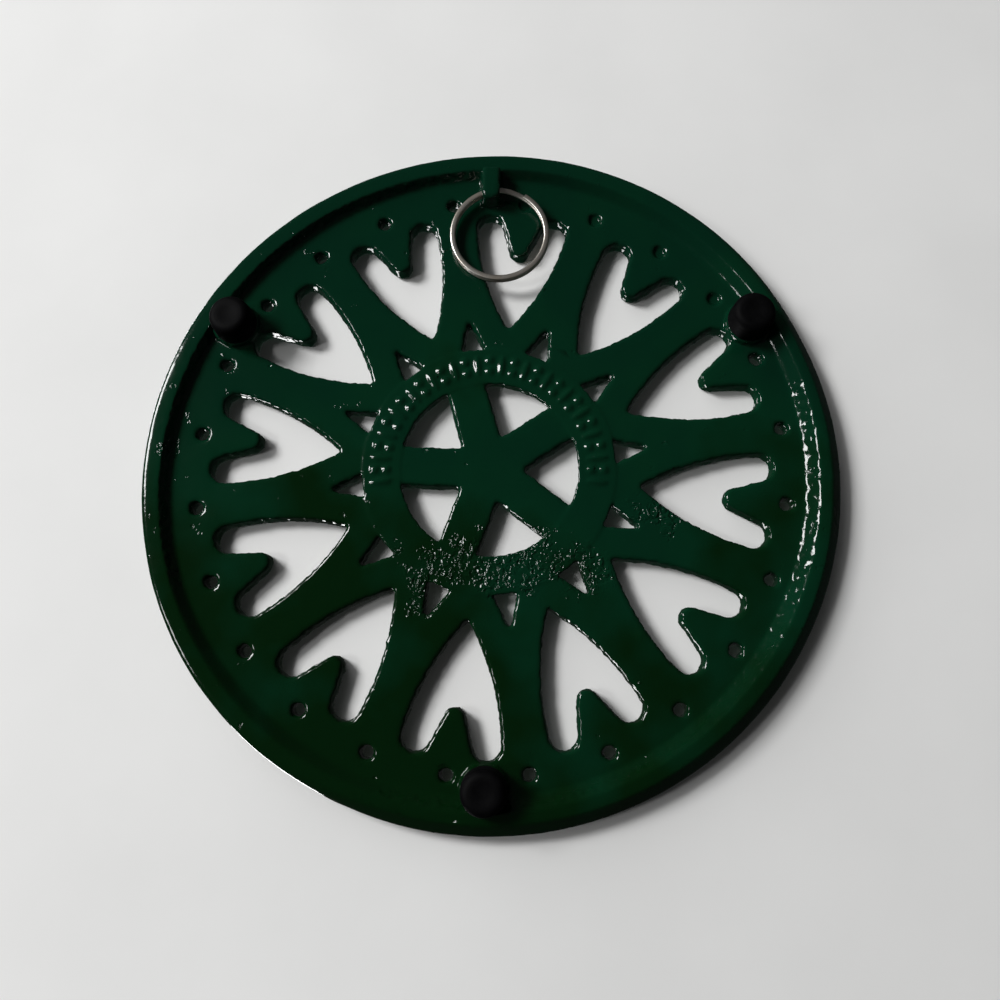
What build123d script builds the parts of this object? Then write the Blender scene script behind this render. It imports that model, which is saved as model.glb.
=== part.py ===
from build123d import *
import os
from math import asin, atan2, cos, degrees, radians, sin, sqrt, tan

# Cast-iron trivet, standing on its feet: +Z up, the pot face on top, the lug and its ring on the +Y side.
# The origin is on the table, under the middle of the plate. Millimetres and degrees.

# Plate and rim
rim_radius = 100.9
plate_thickness = 5.0
plate_clearance = 10.0
rim_drop = 3.3
rim_land = 4.5
bevel_run = 3.25
rim_draft = 1.0
pot_edge_round = 1.5
rim_outer_round = 2.4
rim_inner_round = 0.9
bevel_foot_round = 2.0

# Openings: outlines on the underside, which narrow towards the pot face
opening_draft = 4.0
under_mouth_round = 0.9
pot_mouth_round = 0.5

# Hearts, tips towards the middle, lobes just inside the foot of the rim's bevel
heart_count = 12
heart_turn = 7.0
heart_length = 33.6
heart_tip_round = 0.7
lobe_rim_gap = 10.85
lobe_offset = 9.8
lobe_round = 4.2
flank_lean = 9.0
notch_depth = 6.1
notch_round = 2.8

# Small wedges between the heart tips
wedge_tip_radius = 47.8
wedge_base_radius = 35.9
wedge_half_width = 3.9
wedge_round = 0.8

# Small round holes near the rim
hole_count = 24
hole_rim_gap = 7.0
hole_diameter = 3.9

# Star in the middle
spoke_count = 5
spoke_turn = 2.2
spoke_width = 11.5
star_radius = 26.8
star_corner_round = 0.9

# Seats and pegs that carry the feet
foot_count = 3
foot_turn = 30.0
seat_lobe_gap = 0.1
seat_diameter = 13.4
seat_height = 2.4
seat_round = 0.6
peg_diameter = 7.6
peg_length = 5.0
peg_tip_chamfer = 0.5

# Rubber foot caps
cap_seat_margin = 0.2
cap_taper = 0.9
cap_base_round = 0.5
cap_tip_round = 2.2
cap_peg_gap = 0.4
cap_side_gap = 0.3

# Lug that carries the ring
lug_width = 5.4
lug_drop = 6.2
lug_draft = 6.0
lug_corner_round = 1.5
lug_edge_round = 0.9
lug_hole_inset = 8.75
lug_hole_drop = 3.0
lug_hole_diameter = 4.4
lug_nose_reach = 3.6
lug_root_inset = 0.8

# Split ring of flattened wire
ring_outer_diameter = 30.5
ring_wire_width = 1.7
ring_wire_thickness = 0.9
ring_wire_round = 0.3
ring_turn_gap = 0.46
ring_jog_angle = 40.0
ring_end_angle = 122.0
ring_side_shift = -2.6
ring_rest_gap = 0.3
ring_gap_steps = 170

# Levels and radii that follow from the sizes above
underside = plate_clearance
pot_face = underside + plate_thickness
rim_edge = underside - rim_drop
seat_level = underside - seat_height
peg_tip = seat_level - peg_length
lug_axis = underside - lug_hole_drop
land_outer = rim_radius - (pot_face - rim_edge) * tan(radians(rim_draft))
land_inner = land_outer - rim_land
bevel_foot = land_inner - bevel_run
lobe_reach = bevel_foot - lobe_rim_gap
lobe_centre_radius = sqrt((lobe_reach - lobe_round) ** 2 - lobe_offset**2)
heart_tip_radius = lobe_centre_radius - heart_length
notch_centre_radius = lobe_centre_radius - notch_depth
hole_circle_radius = bevel_foot - hole_rim_gap
foot_circle_radius = lobe_reach + seat_lobe_gap + seat_diameter / 2
cap_base_diameter = seat_diameter - 2 * cap_seat_margin
cap_tip_diameter = cap_base_diameter - 2 * cap_taper
lug_hole_radius = land_inner - lug_hole_inset
ring_pitch = ring_wire_thickness + ring_turn_gap
ring_radius = (ring_outer_diameter - ring_wire_width) / 2
ring_half_height = (ring_pitch + ring_wire_thickness) / 2


def polar(radius, angle, level=0.0):
    return Vector(radius * cos(radians(angle)), radius * sin(radians(angle)), level)


def around(shape, count, first_angle):
    return [Rot(0, 0, first_angle + index * 360 / count) * shape for index in range(count)]


# The plate thickens into a bevelled rim, and every outer corner is rounded
def plate_and_rim():
    foot = (bevel_foot, underside)
    inner = (land_inner, rim_edge)
    outer = (land_outer, rim_edge)
    brim = (rim_radius, pot_face)
    section = make_face(Polyline((0, underside), foot, inner, outer, brim, (0, pot_face), close=True))
    corner_rounds = [
        (foot, bevel_foot_round),
        (inner, rim_inner_round),
        (outer, rim_outer_round),
        (brim, pot_edge_round),
    ]
    for corner, size in corner_rounds:
        section = fillet(section.vertices().sort_by_distance(corner)[0], size)
    return revolve(Plane.XZ * section, Axis.Z)


# One heart along +X: bowed flanks, round lobes and a notch whose walls touch lobe and notch circles
def heart_outline():
    tip = Vector(heart_tip_radius, 0)
    lobe = Vector(lobe_centre_radius, lobe_offset)
    notch = Vector(notch_centre_radius, 0)
    flank_way = Vector(-cos(radians(flank_lean)), -sin(radians(flank_lean)))
    flank_top = lobe + Vector(flank_way.Y, -flank_way.X) * lobe_round
    span = lobe - notch
    wall_angle = atan2(span.Y, span.X) - asin((lobe_round + notch_round) / span.length)
    wall_side = Vector(-sin(wall_angle), cos(wall_angle))
    wall_top = lobe - wall_side * lobe_round
    wall_foot = notch + wall_side * notch_round
    half = [
        TangentArc(flank_top, tip, tangent=flank_way),
        ThreePointArc(flank_top, lobe + Vector(lobe_round, 0), wall_top),
        Line(wall_top, wall_foot),
    ]
    notch_end = ThreePointArc(wall_foot, notch - Vector(notch_round, 0), Vector(wall_foot.X, -wall_foot.Y))
    outline = make_face(half + [notch_end] + [mirror(edge, Plane.XZ) for edge in half])
    return fillet(outline.vertices().sort_by_distance(tip)[0], heart_tip_round)


def wedge_outline():
    base = wedge_base_radius
    corners = [(wedge_tip_radius, 0), (base, wedge_half_width), (base, -wedge_half_width)]
    outline = make_face(Polyline(*corners, close=True))
    return fillet(outline.vertices(), wedge_round)


# The star is what five straight spokes leave of a disc
def star_outlines():
    spoke = Rectangle(rim_radius, spoke_width, align=(Align.MIN, Align.CENTER))
    outlines = Circle(star_radius) - around(spoke, spoke_count, spoke_turn)
    return fillet(outlines.vertices(), star_corner_round).faces()


def opening_tools():
    outlines = around(heart_outline(), heart_count, heart_turn)
    outlines += around(wedge_outline(), heart_count, heart_turn + 180 / heart_count)
    outlines += around(Pos(hole_circle_radius, 0) * Circle(hole_diameter / 2), hole_count, heart_turn)
    outlines += star_outlines()
    inset = plate_thickness * tan(radians(opening_draft))
    tools = []
    for outline in outlines:
        under_mouth = Pos(0, 0, underside) * outline.face()
        pot_mouth = Pos(0, 0, pot_face) * offset(outline, -inset).face()
        tools.append(loft([under_mouth, pot_mouth], ruled=True))
    return tools


def round_mouths(body, level, size):
    face = min(body.faces().filter_by(Axis.Z), key=lambda flat: abs(flat.center().Z - level))
    return fillet([edge for wire in face.inner_wires() for edge in wire.edges()], size)


# A round seat on the plate, with the peg that the rubber cap is pushed over
def foot_seat():
    seat = Pos(0, 0, seat_level) * Cylinder(
        seat_diameter / 2, seat_height + under_mouth_round, align=(Align.CENTER, Align.CENTER, Align.MIN)
    )
    seat = fillet(seat.edges().group_by(Axis.Z)[0], seat_round)
    peg = Pos(0, 0, peg_tip) * Cylinder(
        peg_diameter / 2, peg_length, align=(Align.CENTER, Align.CENTER, Align.MIN)
    )
    peg = chamfer(peg.edges().group_by(Axis.Z)[0], peg_tip_chamfer)
    return Pos(foot_circle_radius, 0) * (seat + peg)


# Free room for a cap beside the bevel of the rim
def cap_room():
    room = Cylinder(
        cap_base_diameter / 2 + cap_side_gap, seat_level, align=(Align.CENTER, Align.CENTER, Align.MIN)
    )
    bare_peg = Cylinder(peg_diameter / 2, seat_level, align=(Align.CENTER, Align.CENTER, Align.MIN))
    return Pos(foot_circle_radius, 0) * (room - bare_peg)


# The lug is a drafted block from the rim to its nose, with a cross hole for the ring
def lug():
    nose = lug_hole_radius - lug_nose_reach
    length = land_inner - lug_root_inset - nose
    spread = lug_drop * tan(radians(lug_draft))
    plan = Pos(0, nose) * Rectangle(lug_width + 2 * spread, length, align=(Align.CENTER, Align.MIN))
    plan = fillet(plan.vertices().group_by(Axis.Y)[0], lug_corner_round + spread)
    block = extrude(Pos(0, 0, underside) * plan, amount=lug_drop, dir=(0, 0, -1), taper=lug_draft)
    return fillet(block.edges().group_by(Axis.Z)[0], lug_edge_round)


def lug_hole():
    drill = Cylinder(lug_hole_diameter / 2, 2 * lug_width, rotation=(0, 90, 0))
    return Pos(0, lug_hole_radius, lug_axis) * drill


def casting():
    body = plate_and_rim() - opening_tools()
    body = round_mouths(body, underside, under_mouth_round)
    body = round_mouths(body, pot_face, pot_mouth_round)
    body = body + around(foot_seat(), foot_count, foot_turn) + lug()
    return body - around(cap_room(), foot_count, foot_turn) - lug_hole()


# A tapered rubber cap with a blind bore that hugs the peg
def foot_cap():
    base = cap_base_diameter / 2
    tip = cap_tip_diameter / 2
    bore = peg_diameter / 2
    bore_end = peg_tip - cap_peg_gap
    corners = [(0, 0), (tip, 0), (base, seat_level), (bore, seat_level), (bore, bore_end), (0, bore_end)]
    section = make_face(Polyline(*corners, close=True))
    section = fillet(section.vertices().sort_by_distance((tip, 0))[0], cap_tip_round)
    section = fillet(section.vertices().sort_by_distance((base, seat_level))[0], cap_base_round)
    return Pos(foot_circle_radius, 0) * revolve(Plane.XZ * section, Axis.Z)


# Two tangent arcs from one point and direction to another
def jog_arcs(start, start_way, end, end_way):
    span = end - start
    ways = start_way + end_way
    bend = 2 * (1 - start_way.dot(end_way))
    reach = (sqrt(span.dot(ways) ** 2 + bend * span.dot(span)) - span.dot(ways)) / bend
    first_knee = start + start_way * reach
    second_knee = end - end_way * reach
    middle = (first_knee + second_knee) / 2
    first = TangentArc(start, middle, tangent=start_way)
    second = TangentArc(middle, end, tangent=second_knee - first_knee)
    return [first, second]


# The wire's middle line: a flat turn, a jog up by one pitch, and a second flat turn above the first
def ring_line():
    half_turn = (360 - ring_jog_angle) / 2
    low = -ring_pitch / 2
    high = ring_pitch / 2
    jog_start = ring_end_angle + 2 * half_turn
    jog_end = jog_start + ring_jog_angle
    line = []
    for level, first in ((low, ring_end_angle), (high, jog_end)):
        for start in (first, first + half_turn):
            bounds = [polar(ring_radius, start + half_turn * share, level) for share in (0, 0.5, 1)]
            line.append(ThreePointArc(*bounds))
    jog = jog_arcs(
        polar(ring_radius, jog_start, low),
        polar(1, jog_start + 90),
        polar(ring_radius, jog_end, high),
        polar(1, jog_end + 90),
    )
    return Wire(line[:2] + jog + line[2:])


# The least gap between the turns, measured on points of the wire's middle line half a turn or more apart
def ring_least_gap(line):
    points = [line.position_at(step / ring_gap_steps) for step in range(ring_gap_steps + 1)]
    half_turn_steps = ring_gap_steps // 4
    spans = [
        (points[late] - points[early]).length
        for early in range(len(points))
        for late in range(early + half_turn_steps, len(points))
    ]
    return min(spans) - ring_wire_thickness


# The ring lies under the plate: threaded through the lug, tilted until its far side nearly touches
def split_ring():
    line = ring_line()
    print("least gap between the ring's turns:", round(ring_least_gap(line), 3), "mm")
    section_plane = Plane(
        origin=line.position_at(0), x_dir=polar(1, ring_end_angle), z_dir=polar(1, ring_end_angle + 90)
    )
    section = section_plane * RectangleRounded(ring_wire_width, ring_wire_thickness, ring_wire_round)
    ring = sweep(section, path=line)
    lug_half_width = lug_width / 2 + (lug_drop - lug_hole_drop) * tan(radians(lug_draft))
    wide_side = lug_half_width + abs(ring_side_shift)
    to_centre = (ring_radius + sqrt(ring_radius**2 - wide_side**2)) / 2
    far_rise = lug_hole_drop - ring_half_height - ring_rest_gap
    tilt = asin(far_rise / (to_centre + ring_radius))
    hinge = Pos(0, lug_hole_radius, lug_axis) * Rot(-degrees(tilt), 0, 0)
    return hinge * Pos(ring_side_shift, -to_centre, 0) * ring


nodes = {"casting": casting(), "split_ring": split_ring()}
for index, cap in enumerate(around(foot_cap(), foot_count, foot_turn)):
    nodes[f"foot_cap_{index + 1}"] = cap

os.makedirs("parts", exist_ok=True)
for name, solid in nodes.items():
    export_step(solid, f"parts/{name}.step")
    box = solid.bounding_box()
    print(name, "volume", round(solid.volume, 1), "mm3, z", round(box.min.Z, 2), "to", round(box.max.Z, 2))
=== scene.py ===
import math
import bpy
from mathutils import Matrix, Vector


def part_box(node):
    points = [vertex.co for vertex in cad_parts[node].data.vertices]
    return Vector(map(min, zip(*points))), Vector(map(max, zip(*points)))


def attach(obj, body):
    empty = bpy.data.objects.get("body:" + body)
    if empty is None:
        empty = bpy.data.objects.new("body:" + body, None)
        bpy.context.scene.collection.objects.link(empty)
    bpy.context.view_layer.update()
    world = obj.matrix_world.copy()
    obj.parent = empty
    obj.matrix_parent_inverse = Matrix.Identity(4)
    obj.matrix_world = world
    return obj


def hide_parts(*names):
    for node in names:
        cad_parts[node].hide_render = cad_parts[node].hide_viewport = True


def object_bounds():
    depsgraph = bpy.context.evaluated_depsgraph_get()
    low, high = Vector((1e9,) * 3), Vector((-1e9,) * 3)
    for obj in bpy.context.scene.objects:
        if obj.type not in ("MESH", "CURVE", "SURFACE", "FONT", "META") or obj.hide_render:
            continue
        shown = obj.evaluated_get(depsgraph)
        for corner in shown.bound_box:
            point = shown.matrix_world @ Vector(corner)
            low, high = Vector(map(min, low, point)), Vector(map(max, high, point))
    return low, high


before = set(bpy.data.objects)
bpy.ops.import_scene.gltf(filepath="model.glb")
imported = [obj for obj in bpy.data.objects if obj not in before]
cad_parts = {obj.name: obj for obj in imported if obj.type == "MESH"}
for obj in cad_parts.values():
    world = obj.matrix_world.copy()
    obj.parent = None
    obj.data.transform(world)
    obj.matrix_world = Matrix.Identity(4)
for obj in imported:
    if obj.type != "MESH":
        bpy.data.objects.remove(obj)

mm = 0.001
cadBounds = [list(corner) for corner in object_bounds()]
scene = bpy.context.scene
scene.view_settings.view_transform = "Standard"
print("frame loaded:", ", ".join(sorted(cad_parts)))


# sRGB hex to linear colour
def colour(hexCode):
    channels = [int(hexCode[i:i + 2], 16) / 255 for i in (1, 3, 5)]
    return [c / 12.92 if c <= 0.04045 else ((c + 0.055) / 1.055) ** 2.4 for c in channels] + [1.0]


# Texture scale for a pattern whose grains are this many millimetres apart
def perSize(size):
    return 1 / (size * mm)


# Smooth step from 0 to 1
def ease(value):
    value = min(max(value, 0), 1)
    return value * value * (3 - 2 * value)


def addNode(tree, kind, settings={}, sockets={}, links={}):
    node = tree.nodes.new(kind)
    for name, value in settings.items():
        setattr(node, name, value)
    for name, value in sockets.items():
        node.inputs[name].default_value = value
    for name, source in links.items():
        tree.links.new(source, node.inputs[name])
    return node


def newMaterial(name):
    material = bpy.data.materials.new(name)
    material.use_nodes = True
    material.node_tree.nodes.clear()
    return material, material.node_tree


def deselectAll():
    if bpy.context.object and bpy.context.object.mode != "OBJECT":
        bpy.ops.object.mode_set(mode="OBJECT")
    bpy.ops.object.select_all(action="DESELECT")


def pick(piece):
    deselectAll()
    piece.select_set(True)
    bpy.context.view_layer.objects.active = piece


def applyModifier(piece, kind, **settings):
    pick(piece)
    modifier = piece.modifiers.new(kind.lower(), kind)
    for name, value in settings.items():
        setattr(modifier, name, value)
    bpy.ops.object.modifier_apply(modifier=modifier.name)


# Puts the piece's place into its mesh
def settle(piece):
    pick(piece)
    bpy.ops.object.transform_apply(location=True, rotation=True, scale=True)


# Merges doubles and turns all faces outwards
def cleanMesh(piece, threshold=0.001):
    pick(piece)
    bpy.ops.object.mode_set(mode="EDIT")
    bpy.ops.mesh.select_all(action="SELECT")
    bpy.ops.mesh.remove_doubles(threshold=threshold * mm)
    bpy.ops.mesh.normals_make_consistent(inside=False)
    bpy.ops.object.mode_set(mode="OBJECT")


def copyOf(piece, name):
    copy = bpy.data.objects.new(name, piece.data.copy())
    scene.collection.objects.link(copy)
    return copy


def triangleCount(piece):
    return sum(len(face.vertices) - 2 for face in piece.data.polygons)


# Casting
casting = {
    "plateDepth": 5.0,          # mm, from the pot face down to the plate's underside
    "skinVoxel": 0.45,          # the skin is drawn over again this finely, then softened
    "softening": 6,
    "softeningFactor": 0.5,
    "bandInner": 26.0,          # a low raised band round the star
    "bandOuter": 37.0,
    "bandHeight": 0.22,
    "bandSunk": 1.0,
    "bandSides": 160,
    "reelCircle": 31.6,         # a plain row of cast beads and short bars on the band
    "reelHeight": 0.75,
    "reelPitch": 6.5,           # degrees, bar and pair of beads in turn
    "reelFrom": -7.5,
    "reelTo": 187.5,
    "barLength": 6.6,
    "barWidth": 1.9,
    "beadDiameter": 2.6,
    "beadApart": 3.6,
    "beadSides": (24, 16),
    "filledHoles": (97, 112, 127, 142),     # degrees, small holes that the enamel has bridged
    "filledCircle": 86.0,
    "fillingDiameter": 4.6,
    "fillingThickness": 2.4,
    "fillingDepth": 1.3,
    "fillingSides": 24,
    "waveHeight": 0.20,         # slow unevenness of a sand casting
    "waveSize": 12.0,
    "lumpHeight": 0.75,         # rougher along the cut-outs, where the sand broke away
    "lumpSize": 1.8,
    "noiseDepth": 2,
    "edgeTilt": (0.97, 0.3),    # of the normal: flat, and the drop from it to a wall
    "rimFrom": 92.0,            # the rim beyond this circle is cleaner
    "rimLumps": 0.9,
    "outerFrom": 97.4,          # its outer side was dressed smooth
    "smoothArcs": ((126, 38), (-47, 25)),   # degrees, middle and reach, where the rim is smooth
    "smoothLumps": 0.15,
    "rimRadius": 100.9,
    "rimDepth": 8.3,            # from the pot face down to the rim's land
    "groundSide": 222.0,        # degrees, the side where the rim was ground most
    "stepFrom": 88.0,           # the rim's step, which this reshapes from here to the rim
    "stepFoot": 93.1,
    "stepTop": 96.4,
    "stepShift": 2.3,           # nearer the middle on the ground side
    "shiftShare": (0.67, 0.33),             # of that, what follows the side and what is even
    "stepSteep": 1.0,           # and steeper on the other
    "cornerReach": 3.4,         # the rim's outer corner, a superellipse
    "cornerPower": (1, 6),      # ground flat on that side, nearly square on the other
    "squareFrom": 0.5,
    "cornerSkin": 1.03,
    "triangles": 190000,
}


# Uneven rim of a hand-dressed casting
def shapeRim(piece, potFace):
    reach, rimRadius = casting["cornerReach"] * mm, casting["rimRadius"] * mm
    start, foot, top = [casting[name] * mm for name in ("stepFrom", "stepFoot", "stepTop")]
    middle, half = (top + foot) / 2, (top - foot) / 2
    corner = potFace - casting["rimDepth"] * mm + reach
    following, even = casting["shiftShare"]
    flat, square = casting["cornerPower"]
    for vertex in piece.data.vertices:
        place = vertex.co
        radius = place.xy.length
        if radius < start:
            continue
        side = math.cos(math.atan2(place.y, place.x) - math.radians(casting["groundSide"]))
        inner = ease((radius - start) / (foot - start))
        outer = 1 - ease((radius - top) / (rimRadius - top))
        low = min(max((potFace - place.z) / (casting["plateDepth"] * mm), 0), 1)
        inward = casting["stepShift"] * mm * max(0, following * side + even)
        lean = min(max((middle - radius) / half, -1), 1)
        steeper = casting["stepSteep"] * mm * max(0, -side) * lean
        newRadius = radius + (steeper - inward) * inner * outer * low
        out = (newRadius - rimRadius + reach) / reach
        down = (corner - place.z) / reach
        if out > 0 and 0 < down < casting["cornerSkin"]:
            power = flat + (square - flat) * ease(casting["squareFrom"] - side)
            squeeze = (out ** power + down ** power) ** (1 / power)
            newRadius = rimRadius - reach + reach * out / squeeze
            place.z = corner - reach * down / squeeze
        place.xy *= newRadius / radius


def bandBlank(low, underside):
    deselectAll()
    bpy.ops.mesh.primitive_circle_add(vertices=casting["bandSides"], radius=casting["bandOuter"] * mm,
                                      fill_type="NGON", location=(0, 0, low))
    band = bpy.context.object
    bpy.ops.object.mode_set(mode="EDIT")
    bpy.ops.mesh.inset(thickness=(casting["bandOuter"] - casting["bandInner"]) * mm)
    bpy.ops.mesh.delete(type="FACE")
    bpy.ops.mesh.select_all(action="SELECT")
    rise = underside + casting["bandSunk"] * mm - low
    bpy.ops.mesh.extrude_region_move(TRANSFORM_OT_translate={"value": (0, 0, rise)})
    bpy.ops.object.mode_set(mode="OBJECT")
    settle(band)
    cleanMesh(band)
    return band


# One cast bead, flattened, and a bar drawn out of the same shape, then copied along the band in turn
def reelShapes(bandLow):
    deselectAll()
    segments, rings = casting["beadSides"]
    bpy.ops.mesh.primitive_uv_sphere_add(segments=segments, ring_count=rings,
                                         radius=casting["beadDiameter"] / 2 * mm)
    bead = bpy.context.object
    bpy.ops.object.mode_set(mode="EDIT")
    bpy.ops.transform.resize(value=(1, 1, casting["reelHeight"] / (casting["beadDiameter"] / 2)))
    bpy.ops.object.mode_set(mode="OBJECT")
    bar = copyOf(bead, "bar")
    bar.data.transform(Matrix.Diagonal((casting["barLength"] / casting["beadDiameter"],
                                        casting["barWidth"] / casting["beadDiameter"], 1, 1)))
    copies = []
    steps = round((casting["reelTo"] - casting["reelFrom"]) / casting["reelPitch"])
    for step in range(steps + 1):
        angle = casting["reelFrom"] + step * casting["reelPitch"]
        turn = Matrix.Rotation(math.radians(angle), 4, "Z")
        if step % 2:
            shapes = ((bead, casting["beadApart"] / 2), (bead, -casting["beadApart"] / 2))
        else:
            shapes = ((bar, 0),)
        for shape, out in shapes:
            copy = copyOf(shape, "reel")
            spot = ((casting["reelCircle"] + out) * mm, 0, bandLow)
            copy.data.transform(turn @ Matrix.Translation(spot))
            copies.append(copy)
    bpy.data.objects.remove(bead)
    bpy.data.objects.remove(bar)
    return copies


# Enamel skin across the small holes that ran full
def holeSkins(underside):
    deselectAll()
    bpy.ops.mesh.primitive_cylinder_add(vertices=casting["fillingSides"],
                                        radius=casting["fillingDiameter"] / 2 * mm,
                                        depth=casting["fillingThickness"] * mm)
    plug = bpy.context.object
    height = underside + (casting["fillingDepth"] + casting["fillingThickness"] / 2) * mm
    copies = []
    for angle in casting["filledHoles"]:
        copy = copyOf(plug, "plug")
        turn = Matrix.Rotation(math.radians(angle), 4, "Z")
        copy.data.transform(turn @ Matrix.Translation((casting["filledCircle"] * mm, 0, height)))
        copies.append(copy)
    bpy.data.objects.remove(plug)
    return copies


# Uneven sand-cast skin under the glaze, roughest on the walls and edges of the cut-outs
def roughen(piece):
    group = piece.vertex_groups.new(name="edges")
    flat, drop = casting["edgeTilt"]
    levels = {}
    for vertex in piece.data.vertices:
        steep = min(max((flat - abs(vertex.normal.z)) / drop, 0), 1)
        if vertex.co.xy.length > casting["rimFrom"] * mm:
            turn = math.degrees(math.atan2(vertex.co.y, vertex.co.x))
            smooth = vertex.co.xy.length > casting["outerFrom"] * mm or any(
                abs(turn - middle) < reach for middle, reach in casting["smoothArcs"])
            steep *= casting["smoothLumps"] if smooth else casting["rimLumps"]
        levels.setdefault(round(steep, 1), []).append(vertex.index)
    for level, members in levels.items():
        group.add(members, level, "REPLACE")
    for label, limit in (("wave", ""), ("lump", "edges")):
        texture = bpy.data.textures.new("cast " + label, "CLOUDS")
        texture.noise_scale = casting[label + "Size"] * mm
        texture.noise_depth = casting["noiseDepth"]
        applyModifier(piece, "DISPLACE", texture=texture, texture_coords="LOCAL", vertex_group=limit,
                      strength=casting[label + "Height"] * mm, mid_level=0.5)
    piece.vertex_groups.clear()


def makeCasting():
    piece = bpy.data.objects.new("enamelled_casting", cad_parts["casting"].data.copy())
    scene.collection.objects.link(piece)
    cleanMesh(piece)
    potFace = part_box("casting")[1].z
    underside = potFace - casting["plateDepth"] * mm
    bandLow = underside - casting["bandHeight"] * mm
    extras = [bandBlank(bandLow, underside)] + reelShapes(bandLow) + holeSkins(underside)

    # One skin over it all, then what is uneven about this casting
    pick(piece)
    for extra in extras:
        extra.select_set(True)
    bpy.ops.object.join()
    applyModifier(piece, "REMESH", mode="VOXEL", voxel_size=casting["skinVoxel"] * mm)
    applyModifier(piece, "SMOOTH", factor=casting["softeningFactor"], iterations=casting["softening"])
    shapeRim(piece, potFace)
    piece.data.update()
    roughen(piece)
    triangles = triangleCount(piece)
    if triangles > casting["triangles"]:
        applyModifier(piece, "DECIMATE", ratio=casting["triangles"] / triangles)
    pick(piece)
    bpy.ops.object.shade_smooth()
    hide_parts("casting")
    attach(piece, "stand")
    print("casting:", triangles, "triangles before thinning,", triangleCount(piece), "after")
    return piece


castingPiece = makeCasting()


# Foot caps
cap = {
    "segments": 72,
    "baseDiameter": 13.0,
    "baseRound": 0.5,
    "baseSegments": 3,
    "tipDiameter": 11.9,
    "tipRound": 2.0,
    "tipSegments": 8,
    "dishEdge": 1.3,            # the tip is moulded slightly hollow
    "dishSlope": 0.6,
    "dishDepth": 0.15,
    "bore": 7.6,
    "boreDepth": 4.6,
    "sharpAngle": 40.0,
}


def facesAtLevel(piece, level, tolerance=0.02):
    for face in piece.data.polygons:
        face.select = abs(face.center.z - level) < tolerance * mm
    for edge in piece.data.edges:
        edge.select = False
    for vertex in piece.data.vertices:
        vertex.select = False


def edgesAtLevel(piece, level, radius, tolerance=0.05):
    vertices = piece.data.vertices
    for face in piece.data.polygons:
        face.select = False
    for vertex in vertices:
        vertex.select = False
    for edge in piece.data.edges:
        ends = [vertices[i].co for i in edge.vertices]
        edge.select = all(abs(end.z - level) < tolerance * mm
                          and abs(end.xy.length - radius) < tolerance * mm for end in ends)
        if edge.select:
            for i in edge.vertices:
                vertices[i].select = True


def makeCap(height):
    baseRadius, tipRadius = cap["baseDiameter"] / 2 * mm, cap["tipDiameter"] / 2 * mm
    deselectAll()
    bpy.ops.mesh.primitive_cylinder_add(vertices=cap["segments"], radius=baseRadius, depth=height,
                                        location=(0, 0, height / 2))
    piece = bpy.context.object
    settle(piece)
    bpy.ops.object.mode_set(mode="EDIT")
    bpy.ops.mesh.select_mode(type="FACE")
    bpy.ops.object.mode_set(mode="OBJECT")

    # Draw the tip in, then hollow it a little
    facesAtLevel(piece, 0)
    bpy.ops.object.mode_set(mode="EDIT")
    bpy.ops.transform.resize(value=(tipRadius / baseRadius, tipRadius / baseRadius, 1))
    bpy.ops.mesh.inset(thickness=cap["dishEdge"] * mm + cap["tipRound"] * mm)
    bpy.ops.mesh.inset(thickness=cap["dishSlope"] * mm, depth=-cap["dishDepth"] * mm)
    bpy.ops.object.mode_set(mode="OBJECT")

    # Bore that takes the cast peg
    facesAtLevel(piece, height)
    bpy.ops.object.mode_set(mode="EDIT")
    bpy.ops.mesh.inset(thickness=baseRadius - cap["bore"] / 2 * mm)
    bpy.ops.mesh.extrude_region_move(
        TRANSFORM_OT_translate={"value": (0, 0, -cap["boreDepth"] * mm)})
    bpy.ops.mesh.select_mode(type="EDGE")
    bpy.ops.object.mode_set(mode="OBJECT")

    for level, radius, end in ((0, tipRadius, "tip"), (height, baseRadius, "base")):
        edgesAtLevel(piece, level, radius)
        bpy.ops.object.mode_set(mode="EDIT")
        bpy.ops.mesh.bevel(offset=cap[end + "Round"] * mm, offset_type="OFFSET",
                           segments=cap[end + "Segments"], affect="EDGES")
        bpy.ops.object.mode_set(mode="OBJECT")
    cleanMesh(piece)
    return piece


def makeCaps():
    first = None
    pieces = []
    for number in (1, 2, 3):
        node = f"foot_cap_{number}"
        lowCorner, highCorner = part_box(node)
        if first is None:
            first = makeCap(highCorner.z - lowCorner.z)
        piece = copyOf(first, f"rubber_foot_cap_{number}")
        middle = (lowCorner + highCorner) / 2
        piece.data.transform(Matrix.Translation((middle.x, middle.y, lowCorner.z))
                             @ Matrix.Rotation(math.atan2(middle.y, middle.x), 4, "Z"))
        pick(piece)
        bpy.ops.object.shade_smooth_by_angle(angle=math.radians(cap["sharpAngle"]))
        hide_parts(node)
        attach(piece, "stand")
        pieces.append(piece)
    bpy.data.objects.remove(first)
    print("caps:", len(pieces))
    return pieces


capPieces = makeCaps()


# Split ring
ring = {
    "outerDiameter": 30.5,
    "wireWidth": 1.7,           # across the ring
    "wireThickness": 0.9,       # along its axis
    "wireRound": 0.42,
    "wireSegments": 4,
    "turnGap": 0.46,
    "jogAngle": 40.0,
    "endAngle": 122.0,
    "stepAngle": 2.5,
    "sharpAngle": 50.0,
}


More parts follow.
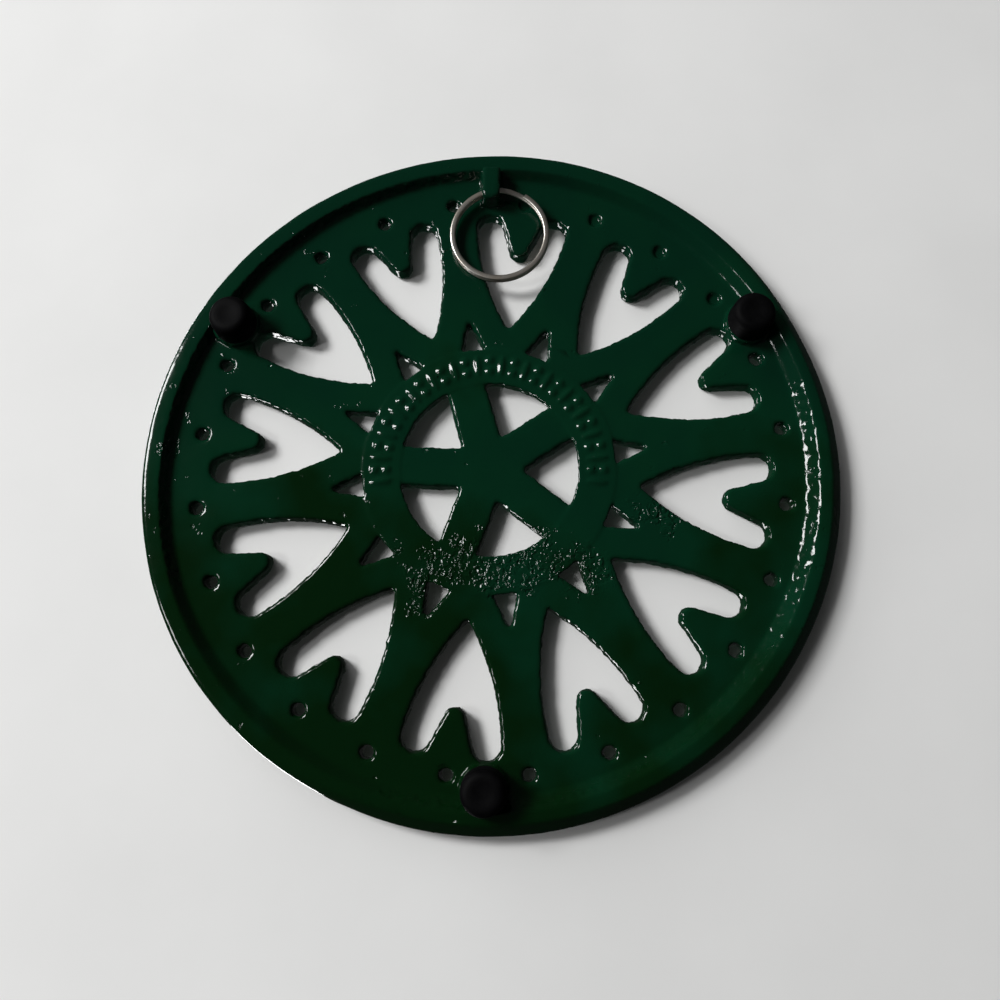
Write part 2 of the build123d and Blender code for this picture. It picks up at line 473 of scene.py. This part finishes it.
def makeRing():
    lowCorner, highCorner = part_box("split_ring")
    middle = (lowCorner + highCorner) / 2
    pitch = ring["wireThickness"] + ring["turnGap"]
    stack = pitch + ring["wireThickness"]
    tilt = math.asin(((highCorner.z - lowCorner.z) / mm - stack) / ring["outerDiameter"])
    radius = (ring["outerDiameter"] - ring["wireWidth"]) / 2

    # The wire's section, with its corners rounded, set on the ring's own radius
    deselectAll()
    bpy.ops.mesh.primitive_plane_add(size=1 * mm, rotation=(math.pi / 2, 0, 0))
    piece = bpy.context.object
    piece.name = "nickel_split_ring"
    settle(piece)
    bpy.ops.object.mode_set(mode="EDIT")
    bpy.ops.mesh.select_all(action="SELECT")
    bpy.ops.transform.resize(value=(ring["wireWidth"], 1, ring["wireThickness"]))
    bpy.ops.mesh.bevel(offset=ring["wireRound"] * mm, segments=ring["wireSegments"],
                       affect="VERTICES")
    bpy.ops.mesh.select_all(action="SELECT")
    bpy.ops.transform.translate(value=(radius * mm, 0, 0))
    bpy.ops.object.mode_set(mode="OBJECT")
    corners = len(piece.data.vertices)

    # Two turns of it, one above the other, with the jog between them
    jogStart = 360 - ring["jogAngle"]
    turned = 2 * jogStart + ring["jogAngle"]
    steps = round(turned / ring["stepAngle"])
    bpy.ops.object.mode_set(mode="EDIT")
    bpy.ops.mesh.select_all(action="SELECT")
    bpy.ops.mesh.spin(steps=steps, angle=-math.radians(turned), center=(0, 0, 0), axis=(0, 0, 1))
    bpy.ops.object.mode_set(mode="OBJECT")
    for vertex in piece.data.vertices:
        share = ((vertex.index // corners) * turned / steps - jogStart) / ring["jogAngle"]
        vertex.co.z += pitch * (ease(share) - 0.5) * mm
    cleanMesh(piece)

    # Close both cut ends, then lay it where the lug holds it
    bpy.ops.object.mode_set(mode="EDIT")
    bpy.ops.mesh.select_all(action="DESELECT")
    bpy.ops.mesh.select_mode(type="EDGE")
    bpy.ops.mesh.select_non_manifold(extend=False, use_wire=False, use_multi_face=False,
                                     use_non_contiguous=False, use_verts=False)
    bpy.ops.mesh.edge_face_add()
    bpy.ops.mesh.select_all(action="SELECT")
    bpy.ops.mesh.normals_make_consistent(inside=False)
    bpy.ops.object.mode_set(mode="OBJECT")
    piece.data.transform(Matrix.Translation(middle) @ Matrix.Rotation(-tilt, 4, "X")
                         @ Matrix.Rotation(math.radians(ring["endAngle"]), 4, "Z"))
    bpy.ops.object.shade_smooth_by_angle(angle=math.radians(ring["sharpAngle"]))
    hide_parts("split_ring")
    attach(piece, "ring")
    print("ring:", len(piece.data.polygons), "faces, tilted", round(math.degrees(tilt), 2))
    return piece


ringPiece = makeRing()


# Vitreous enamel: glass fired over a rough sand casting. It is deep and glossy, pools smooth on
# the flats, and shows the sand's grain and gas pits in patches that break the light into sparks.
enamel = {
    # Colour drifts at random, and along Y carries painted reflection and shade: bluer at the top,
    # darker and yellower towards the bottom
    "coolAndSheen": "#032517",
    "body": "#042918",
    "warmAndShade": "#031b07",
    "toneStops": (0.28, 0.52, 0.74),
    "toneSize": 34.0,           # mm, drift of the colour
    "paintedSheenSlope": 0.0033,        # per mm, painted reflection and shade: bluer towards the top, darker and yellower towards the bottom
    "poolSize": 9.0,
    "poolHeight": 0.10,
    "peelSize": 2.2,
    "peelHeight": 0.035,
    "sandSize": 2.0,            # mm, wrinkled grain
    "sandHeight": 1.10,
    "sandTwist": 1.2,
    "patchSize": 5.5,
    "patchEdge": (0.64, 0.78),
    "patchWeight": 0.45,
    "patchLevel": (10.0, 6.0),  # mm, they lie on the underside
    # mm, middle and reach of each rough patch
    "patches": ((-4, -27, 38, 14), (18, -33, 9, 13), (-28, -30, 12, 11), (-52, -13, 15, 10),
                (-99, -12, 6, 12), (95, 6, 5, 10), (15, 7, 9, 4)),
    "pitSpacing": 11.0,
    "pitEdge": (0.02, 0.07),
    "pitHeight": 0.18,
    "rough": (0.10, 0.12),      # on the flats and on the sand
    "ior": 1.5,
    "shine": 0.30,              # thin, slightly dulled glaze
}


def enamelMaterial():
    material, tree = newMaterial("vitreous enamel, bottle green")
    place = addNode(tree, "ShaderNodeTexCoord").outputs["Object"]
    tone = addNode(tree, "ShaderNodeTexNoise",
                   sockets={"Scale": perSize(enamel["toneSize"]), "Detail": 3.0},
                   links={"Vector": place})
    axes = addNode(tree, "ShaderNodeSeparateXYZ", links={"Vector": place})
    # Random drift plus a painted gradient along Y: painted reflection towards the top, painted shade
    # towards the bottom
    toneAndSheen = addNode(tree, "ShaderNodeMath", {"operation": "MULTIPLY_ADD"},
                      {1: -enamel["paintedSheenSlope"] / mm},
                      {0: axes.outputs["Y"], 2: tone.outputs["Fac"]})
    toneAndSheenRamp = addNode(tree, "ShaderNodeValToRGB", links={"Fac": toneAndSheen.outputs["Value"]})
    coolStop, bodyStop, warmStop = enamel["toneStops"]
    stops = toneAndSheenRamp.color_ramp.elements
    stops[0].position, stops[0].color = coolStop, colour(enamel["coolAndSheen"])
    stops[1].position, stops[1].color = bodyStop, colour(enamel["body"])
    stops.new(warmStop).color = colour(enamel["warmAndShade"])

    # Where the sand's grain shows through: soft blots, broken up by noise
    blots = None
    level, reachZ = enamel["patchLevel"]
    for x, y, reachX, reachY in enamel["patches"]:
        spot = addNode(tree, "ShaderNodeMapping", {}, {
            "Location": (-x / reachX, -y / reachY, -level / reachZ),
            "Scale": (perSize(reachX), perSize(reachY), perSize(reachZ))}, {"Vector": place})
        blot = addNode(tree, "ShaderNodeTexGradient", {"gradient_type": "SPHERICAL"},
                       links={"Vector": spot.outputs["Vector"]}).outputs["Fac"]
        if blots:
            blot = addNode(tree, "ShaderNodeMath", {"operation": "MAXIMUM"},
                           links={0: blots, 1: blot}).outputs["Value"]
        blots = blot
    patch = addNode(tree, "ShaderNodeTexNoise", {}, {
        "Scale": perSize(enamel["patchSize"]), "Detail": 4.0, "Roughness": 0.6}, {"Vector": place})
    patchSum = addNode(tree, "ShaderNodeMath", {"operation": "MULTIPLY_ADD"},
                       {1: enamel["patchWeight"]}, {0: blots, 2: patch.outputs["Fac"]})
    patchFrom, patchFull = enamel["patchEdge"]
    patchRamp = addNode(tree, "ShaderNodeMapRange", {"interpolation_type": "SMOOTHSTEP"},
                        {"From Min": patchFrom, "From Max": patchFull},
                        {"Value": patchSum.outputs["Value"]})
    sand = addNode(tree, "ShaderNodeTexNoise", {}, {
        "Scale": perSize(enamel["sandSize"]), "Detail": 1.0, "Roughness": 0.5,
        "Distortion": enamel["sandTwist"]}, {"Vector": place})
    uneven = addNode(tree, "ShaderNodeMath", {"operation": "SUBTRACT"}, {1: 0.5},
                     {0: sand.outputs["Fac"]})
    sandHeight = addNode(tree, "ShaderNodeMath", {"operation": "MULTIPLY"},
                         links={0: uneven.outputs["Value"], 1: patchRamp.outputs["Result"]})
    pits = addNode(tree, "ShaderNodeTexVoronoi", {"feature": "F1"},
                   {"Scale": perSize(enamel["pitSpacing"])}, {"Vector": place})
    pitFloor, pitLip = enamel["pitEdge"]
    pitHeight = addNode(tree, "ShaderNodeMapRange", {"interpolation_type": "SMOOTHSTEP"},
                        {"From Min": pitFloor, "From Max": pitLip},
                        {"Value": pits.outputs["Distance"]})
    pool = addNode(tree, "ShaderNodeTexNoise",
                   sockets={"Scale": perSize(enamel["poolSize"]), "Detail": 2.0},
                   links={"Vector": place})
    peel = addNode(tree, "ShaderNodeTexNoise",
                   sockets={"Scale": perSize(enamel["peelSize"]), "Detail": 2.0},
                   links={"Vector": place})

    normal = None
    for height, size in ((pool.outputs["Fac"], "poolHeight"),
                         (peel.outputs["Fac"], "peelHeight"),
                         (sandHeight.outputs["Value"], "sandHeight"),
                         (pitHeight.outputs["Result"], "pitHeight")):
        links = {"Height": height}
        if normal:
            links["Normal"] = normal
        bump = addNode(tree, "ShaderNodeBump", {},
                       {"Strength": 1.0, "Distance": enamel[size] * mm}, links)
        normal = bump.outputs["Normal"]
    roughFlat, roughSand = enamel["rough"]
    rough = addNode(tree, "ShaderNodeMapRange", {}, {"To Min": roughFlat, "To Max": roughSand},
                    {"Value": patchRamp.outputs["Result"]})
    shader = addNode(tree, "ShaderNodeBsdfPrincipled", {},
                     {"IOR": enamel["ior"], "Specular IOR Level": enamel["shine"]},
                     {"Base Color": toneAndSheenRamp.outputs["Color"], "Roughness": rough.outputs["Result"],
                      "Normal": normal})
    addNode(tree, "ShaderNodeOutputMaterial", links={"Surface": shader.outputs["BSDF"]})
    return material


# Moulded natural rubber: matt black, a fine grain from the mould and a little grey dust on what rubs
rubber = {
    "body": "#030304",
    "dust": "#080809",
    "dustStops": (0.42, 0.80),
    "dustSize": 3.0,
    "grainSize": 0.45,
    "grainHeight": 0.02,
    "rough": (0.5, 0.75),
    "ior": 1.52,
    "shine": 0.05,
}


def rubberMaterial():
    material, tree = newMaterial("moulded rubber, black")
    place = addNode(tree, "ShaderNodeTexCoord").outputs["Object"]
    dust = addNode(tree, "ShaderNodeTexNoise", {}, {
        "Scale": perSize(rubber["dustSize"]), "Detail": 5.0, "Roughness": 0.65}, {"Vector": place})
    ramp = addNode(tree, "ShaderNodeValToRGB", links={"Fac": dust.outputs["Fac"]})
    bodyStop, dustStop = rubber["dustStops"]
    stops = ramp.color_ramp.elements
    stops[0].position, stops[0].color = bodyStop, colour(rubber["body"])
    stops[1].position, stops[1].color = dustStop, colour(rubber["dust"])
    grain = addNode(tree, "ShaderNodeTexNoise",
                    sockets={"Scale": perSize(rubber["grainSize"]), "Detail": 2.0},
                    links={"Vector": place})
    bump = addNode(tree, "ShaderNodeBump", {},
                   {"Strength": 1.0, "Distance": rubber["grainHeight"] * mm},
                   {"Height": grain.outputs["Fac"]})
    roughBody, roughDust = rubber["rough"]
    rough = addNode(tree, "ShaderNodeMapRange", {}, {"To Min": roughBody, "To Max": roughDust},
                    {"Value": dust.outputs["Fac"]})
    shader = addNode(tree, "ShaderNodeBsdfPrincipled", {},
                     {"IOR": rubber["ior"], "Specular IOR Level": rubber["shine"]},
                     {"Base Color": ramp.outputs["Color"], "Roughness": rough.outputs["Result"],
                      "Normal": bump.outputs["Normal"]})
    addNode(tree, "ShaderNodeOutputMaterial", links={"Surface": shader.outputs["BSDF"]})
    return material


# Nickel plate on spring steel: warm grey mirror, dulled by handling, with faint scuffs
nickel = {
    "bright": "#e6e1d8",
    "dull": "#c4bbae",
    "tarnishStops": (0.35, 0.60),
    "tarnishSize": 4.0,
    "scuffSize": 0.5,
    "scuffHeight": 0.012,
    "rough": (0.24, 0.42),
}


def nickelMaterial():
    material, tree = newMaterial("nickel plate, handled")
    place = addNode(tree, "ShaderNodeTexCoord").outputs["Object"]
    tarnish = addNode(tree, "ShaderNodeTexNoise",
                      sockets={"Scale": perSize(nickel["tarnishSize"]), "Detail": 4.0},
                      links={"Vector": place})
    ramp = addNode(tree, "ShaderNodeValToRGB", links={"Fac": tarnish.outputs["Fac"]})
    dullStop, brightStop = nickel["tarnishStops"]
    stops = ramp.color_ramp.elements
    stops[0].position, stops[0].color = dullStop, colour(nickel["dull"])
    stops[1].position, stops[1].color = brightStop, colour(nickel["bright"])
    scuff = addNode(tree, "ShaderNodeTexNoise",
                    sockets={"Scale": perSize(nickel["scuffSize"]), "Detail": 3.0},
                    links={"Vector": place})
    bump = addNode(tree, "ShaderNodeBump", {},
                   {"Strength": 1.0, "Distance": nickel["scuffHeight"] * mm},
                   {"Height": scuff.outputs["Fac"]})
    roughBright, roughDull = nickel["rough"]
    rough = addNode(tree, "ShaderNodeMapRange", {}, {"To Min": roughDull, "To Max": roughBright},
                    {"Value": tarnish.outputs["Fac"]})
    shader = addNode(tree, "ShaderNodeBsdfPrincipled", {}, {"Metallic": 1.0},
                     {"Base Color": ramp.outputs["Color"], "Roughness": rough.outputs["Result"],
                      "Normal": bump.outputs["Normal"]})
    addNode(tree, "ShaderNodeOutputMaterial", links={"Surface": shader.outputs["BSDF"]})
    return material


def dress(piece, material):
    piece.data.materials.clear()
    piece.data.materials.append(material)


dress(castingPiece, enamelMaterial())
rubberSkin = rubberMaterial()
for capPiece in capPieces:
    dress(capPiece, rubberSkin)
dress(ringPiece, nickelMaterial())
print("materials done")


# Stage: a pale matt table. The photograph looks at the underside, so the same table is laid twice,
# against the pot face for that view and under the feet for the views from above.
# Each shows from one side only.
stage = {
    "top": "#e8e8e7",
    "mark": "#e4e4e3",
    "markStops": (0.35, 0.65),
    "markSize": 60.0,
    "width": 4000.0,
    "gap": 0.15,                # mm, between the pot face and its table
    "fade": (350.0, 1700.0),    # mm from the middle, where it melts into the pale backdrop
    "rough": 0.6,
}


def tableMaterial():
    material, tree = newMaterial("matt table top, pale")
    place = addNode(tree, "ShaderNodeTexCoord").outputs["Object"]
    mark = addNode(tree, "ShaderNodeTexNoise",
                   sockets={"Scale": perSize(stage["markSize"]), "Detail": 5.0},
                   links={"Vector": place})
    ramp = addNode(tree, "ShaderNodeValToRGB", links={"Fac": mark.outputs["Fac"]})
    markStop, topStop = stage["markStops"]
    stops = ramp.color_ramp.elements
    stops[0].position, stops[0].color = markStop, colour(stage["mark"])
    stops[1].position, stops[1].color = topStop, colour(stage["top"])
    shader = addNode(tree, "ShaderNodeBsdfPrincipled", {},
                     {"Roughness": stage["rough"], "Specular IOR Level": 0.0},
                     {"Base Color": ramp.outputs["Color"]})
    clear = addNode(tree, "ShaderNodeBsdfTransparent")
    side = addNode(tree, "ShaderNodeNewGeometry")
    away = addNode(tree, "ShaderNodeVectorMath", {"operation": "LENGTH"}, links={0: place})
    fadeFrom, fadeTo = stage["fade"]
    fade = addNode(tree, "ShaderNodeMapRange", {"interpolation_type": "SMOOTHSTEP"},
                   {"From Min": fadeFrom * mm, "From Max": fadeTo * mm},
                   {"Value": away.outputs["Value"]})
    unseen = addNode(tree, "ShaderNodeMath", {"operation": "MAXIMUM"},
                     links={0: side.outputs["Backfacing"], 1: fade.outputs["Result"]})
    mix = addNode(tree, "ShaderNodeMixShader",
                  links={0: unseen.outputs["Value"], 1: shader.outputs["BSDF"],
                         2: clear.outputs["BSDF"]})
    addNode(tree, "ShaderNodeOutputMaterial", links={"Surface": mix.outputs["Shader"]})
    return material


def makeStage():
    tableTop = tableMaterial()
    lowest, highest = cadBounds[0][2], cadBounds[1][2]
    for name, height, turn in (("floor", lowest, 0),
                               ("backdrop", highest + stage["gap"] * mm, math.pi)):
        deselectAll()
        bpy.ops.mesh.primitive_plane_add(size=stage["width"] * mm, location=(0, 0, height),
                                         rotation=(turn, 0, 0))
        table = bpy.context.object
        table.name = name
        settle(table)
        dress(table, tableTop)
        table.visible_shadow = False
        table.visible_diffuse = False
        table.visible_glossy = False
        table.visible_transmission = False
    print("stage done")


makeStage()


# Lamps: two soft boxes on the photograph's side, and a pair above, kept low, for the pot face.
# Each has its direction, its distance and width in metres, and its watts.
lamps = (
    ("window", (0.690, 0.312, -0.653), 1.60, 0.44, 21.0),
    ("small window", (0.700, -0.130, -0.702), 1.50, 0.22, 3.0),
    ("upper key", (0.552, -0.497, 0.669), 2.20, 0.60, 15.0),
    ("upper fill", (0.623, 0.405, 0.669), 2.20, 0.60, 7.0),
)


# World: a pale backdrop to the eye, a bright side, even light above and little for mirrors
world = {
    "sky": "#e8e8e8",
    "light": "#9a9a9a",
    "from": (0.8, 0.6, 0),
    "sideFrom": 0.35,           # how near that direction the bright side begins
    "bright": 6.5,
    "dark": 0.10,
    "above": 1.5,
    "aboveFull": 0.2,           # height at which the light above is full
    "mirrored": 0.09,
}


def makeLight():
    for name, way, distance, size, watts in lamps:
        deselectAll()
        spot = Vector(way).normalized() * distance
        bpy.ops.object.light_add(type="AREA", location=spot,
                                 rotation=spot.to_track_quat("Z", "Y").to_euler())
        lamp = bpy.context.object
        lamp.name = name
        lamp.data.size = size
        lamp.data.energy = watts
    sky = bpy.data.worlds.new("studio")
    scene.world = sky
    sky.use_nodes = True
    tree = sky.node_tree
    tree.nodes.clear()
    path = addNode(tree, "ShaderNodeLightPath")
    look = addNode(tree, "ShaderNodeTexCoord").outputs["Generated"]
    way = addNode(tree, "ShaderNodeVectorMath", {"operation": "DOT_PRODUCT"}, {1: world["from"]},
                  {0: look})
    height = addNode(tree, "ShaderNodeSeparateXYZ", links={"Vector": look})
    even = addNode(tree, "ShaderNodeMapRange", {"interpolation_type": "SMOOTHSTEP"},
                   {"From Min": 0.0, "From Max": world["aboveFull"],
                    "To Min": world["dark"], "To Max": world["above"]},
                   {"Value": height.outputs["Z"]})
    side = addNode(tree, "ShaderNodeMapRange", {"interpolation_type": "SMOOTHSTEP"},
                   {"From Min": world["sideFrom"], "From Max": 1.0, "To Max": world["bright"]},
                   {"Value": way.outputs["Value"], "To Min": even.outputs["Result"]})
    level = addNode(tree, "ShaderNodeMapRange", {}, {"To Max": world["mirrored"]},
                    {"Value": path.outputs["Is Glossy Ray"], "To Min": side.outputs["Result"]})
    dim = addNode(tree, "ShaderNodeBackground", {}, {"Color": colour(world["light"])},
                  {"Strength": level.outputs["Result"]})
    pale = addNode(tree, "ShaderNodeBackground",
                   sockets={"Color": colour(world["sky"]), "Strength": 1.0})
    mix = addNode(tree, "ShaderNodeMixShader",
                  links={0: path.outputs["Is Camera Ray"], 1: dim.outputs["Background"],
                         2: pale.outputs["Background"]})
    addNode(tree, "ShaderNodeOutputWorld", links={"Surface": mix.outputs["Shader"]})
    print("lamps done")


makeLight()


# Camera, below the trivet and looking up at it as the photograph does
camera = {
    "place": (-11.32, -61.77, -221.9),      # mm
    "turn": (-167.302, -1.846, 179.5),      # degrees
    "lens": 29.7,
    "sensor": 36.0,
}


def makeCamera():
    deselectAll()
    bpy.ops.object.camera_add(location=[v * mm for v in camera["place"]],
                              rotation=[math.radians(v) for v in camera["turn"]])
    eye = bpy.context.object
    eye.data.lens = camera["lens"]
    eye.data.sensor_width = camera["sensor"]
    scene.camera = eye
    print("camera done")


makeCamera()
